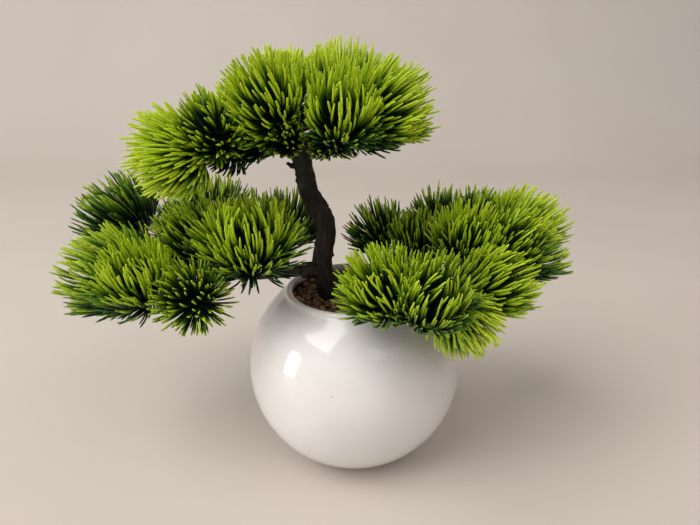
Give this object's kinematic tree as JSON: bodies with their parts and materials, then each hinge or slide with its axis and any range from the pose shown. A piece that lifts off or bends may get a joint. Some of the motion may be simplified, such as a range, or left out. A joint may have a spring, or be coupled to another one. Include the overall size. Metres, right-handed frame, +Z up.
{
  "type": "artificial tabletop tree",
  "caption": "Artificial pine in a white ball-shaped pot: a bent moulded trunk with a crown and two side sprays of needle tufts that swivel on their plugs, set in foam under bonded gravel.",
  "frame": {"origin": "centre of the pot's flat foot, on the surface it stands on", "axes": "+Z up along the pot's axis; the front of the tree faces -Y; +X to the right seen from the front, along the length of the foliage"},
  "size_m": [0.2934, 0.1531, 0.236],
  "materials": {
    "glaze": "gloss",
    "foam": "matte",
    "gravel": "satin",
    "bark": "matte",
    "steel_wire": "satin",
    "needles": "satin"
  },
  "bodies": {
    "base": {"ceramic_pot": "glaze", "foam_block": "foam", "gravel_bed": "gravel", "trunk": "bark", "trunk_core_wire": "steel_wire"},
    "crown_left_spray": {"crown_left_branch": "bark", "crown_left_tuft_1": "needles", "crown_left_tuft_10": "needles", "crown_left_tuft_11": "needles", "crown_left_tuft_2": "needles", "crown_left_tuft_3": "needles", "crown_left_tuft_4": "needles", "crown_left_tuft_5": "needles", "crown_left_tuft_6": "needles", "crown_left_tuft_7": "needles", "crown_left_tuft_8": "needles", "crown_left_tuft_9": "needles"},
    "crown_right_spray": {"crown_right_branch": "bark", "crown_right_tuft_1": "needles", "crown_right_tuft_2": "needles", "crown_right_tuft_3": "needles", "crown_right_tuft_4": "needles", "crown_right_tuft_5": "needles", "crown_right_tuft_6": "needles", "crown_right_tuft_7": "needles", "crown_right_tuft_8": "needles", "crown_right_tuft_9": "needles"},
    "left_spray": {"left_branch": "bark", "left_tuft_1": "needles", "left_tuft_2": "needles", "left_tuft_3": "needles", "left_tuft_4": "needles", "left_tuft_5": "needles", "left_tuft_6": "needles", "left_tuft_7": "needles", "left_tuft_8": "needles", "left_tuft_9": "needles"},
    "right_spray": {"right_branch": "bark", "right_tuft_1": "needles", "right_tuft_10": "needles", "right_tuft_11": "needles", "right_tuft_12": "needles", "right_tuft_2": "needles", "right_tuft_3": "needles", "right_tuft_4": "needles", "right_tuft_5": "needles", "right_tuft_6": "needles", "right_tuft_7": "needles", "right_tuft_8": "needles", "right_tuft_9": "needles"}
  },
  "joints": [
    {"name": "crown_left_swivel", "type": "hinge", "parent": "base", "child": "crown_left_spray", "pos_m": [-0.037, 0, 0.182], "axis": [-1, 0, 0], "range_deg": [-4, 14]},
    {"name": "crown_right_swivel", "type": "hinge", "parent": "base", "child": "crown_right_spray", "pos_m": [-0.023, 0, 0.182], "axis": [-1, 0, 0], "range_deg": [-14, 14]},
    {"name": "left_swivel", "type": "hinge", "parent": "base", "child": "left_spray", "pos_m": [-0.03, -0.002, 0.113], "axis": [-1, 0, 0], "range_deg": [-12, 4]},
    {"name": "right_swivel", "type": "hinge", "parent": "base", "child": "right_spray", "pos_m": [-0.007, 0.001, 0.1045], "axis": [-1, 0, 0], "range_deg": [-3, 14]}
  ]
}
